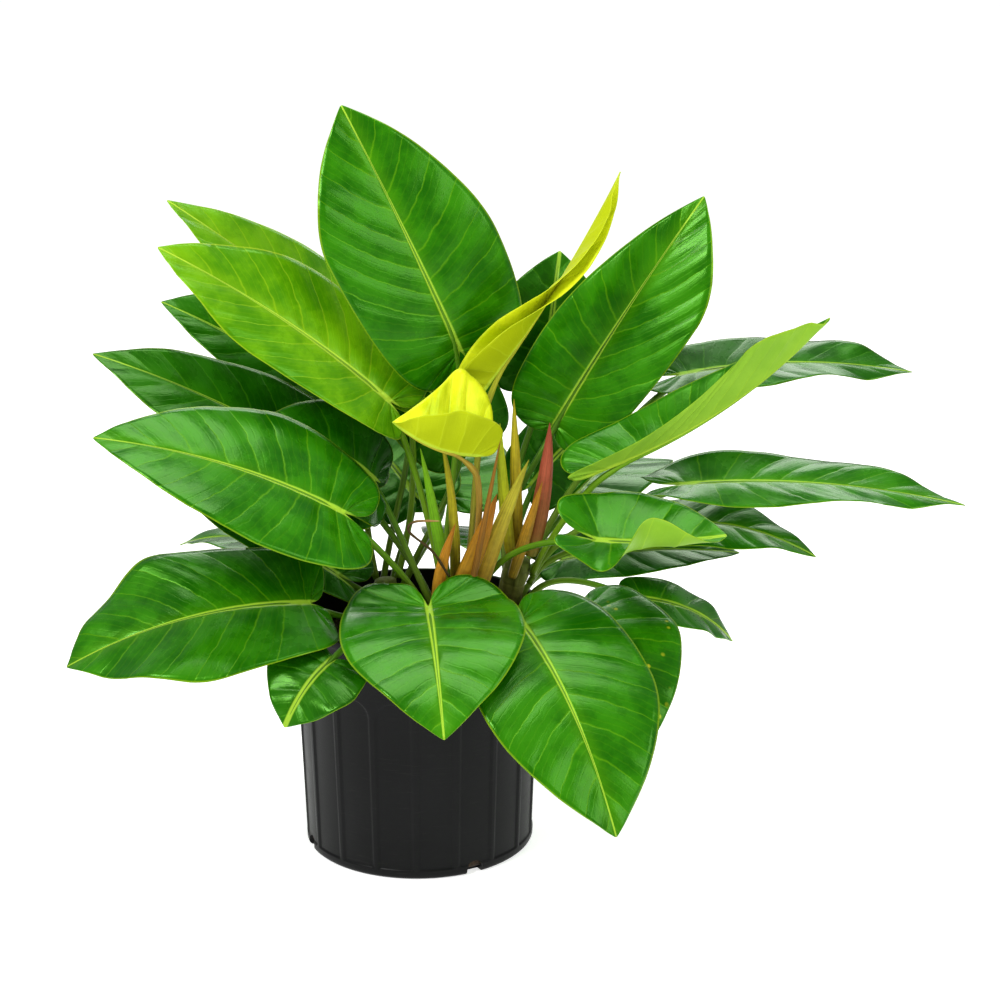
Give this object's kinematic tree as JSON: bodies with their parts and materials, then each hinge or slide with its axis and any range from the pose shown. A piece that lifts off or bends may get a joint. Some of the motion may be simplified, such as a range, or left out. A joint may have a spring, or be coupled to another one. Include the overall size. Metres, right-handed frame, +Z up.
{
  "type": "potted plant",
  "caption": "Self-heading philodendron with broad glossy leaves on arching stalks, growing from short stems in a round ribbed nursery pot.",
  "frame": {"origin": "centre of the flat underside of the pot", "axes": "+Z up along the pot's axis; the side shown in the picture faces -Y, with +X to its right"},
  "size_m": [0.899, 0.6053, 0.7527],
  "materials": {
    "pot": "satin black moulded plastic",
    "mix": "dark moist bark and peat",
    "stem": "green-brown stem",
    "root": "dry brown root and stalk",
    "leaf_dark": "dark green glossy leaf",
    "leaf_green": "mid-green glossy leaf",
    "leaf_fresh": "light green leaf",
    "leaf_lime": "yellow-green young leaf",
    "sheath_pink": "pink-red young sheath",
    "sheath_green": "yellow-green sheath",
    "sheath_tan": "tan to orange-brown sheath"
  },
  "bodies": {
    "root": {"nursery_pot": "pot", "potting_mix": "mix", "stem_a": "stem", "stem_b": "stem", "stem_c": "stem", "leaf_01": "leaf_green", "leaf_02": "leaf_dark", "leaf_03": "leaf_lime", "leaf_04": "leaf_lime", "leaf_05": "leaf_fresh", "leaf_06": "leaf_fresh", "leaf_07": "leaf_dark", "leaf_08": "leaf_dark", "leaf_09": "leaf_dark", "leaf_10": "leaf_green", "leaf_11": "leaf_dark", "leaf_12": "leaf_green", "leaf_13": "leaf_green", "leaf_14": "leaf_dark", "leaf_15": "leaf_green", "leaf_16": "leaf_green", "leaf_17": "leaf_green", "leaf_18": "leaf_green", "leaf_19": "leaf_dark", "leaf_20": "leaf_green", "leaf_21": "leaf_green", "leaf_22": "leaf_green", "leaf_23": "leaf_fresh", "leaf_24": "leaf_dark", "leaf_25": "leaf_dark", "leaf_26": "leaf_dark", "leaf_27": "leaf_dark", "leaf_28": "leaf_dark", "leaf_29": "leaf_dark", "leaf_30": "leaf_green", "leaf_31": "leaf_green", "leaf_32": "leaf_green", "leaf_33": "leaf_green", "sheath_pink": "sheath_pink", "sheath_tan": "sheath_tan", "sheath_russet": "sheath_tan", "sheath_short": "sheath_tan", "sheath_small": "sheath_tan", "sheath_green": "sheath_green", "sheath_olive": "sheath_tan", "sheath_lime": "sheath_green", "sheath_ochre": "sheath_tan", "old_stalk": "root", "aerial_root": "root"}
  },
  "joints": []
}
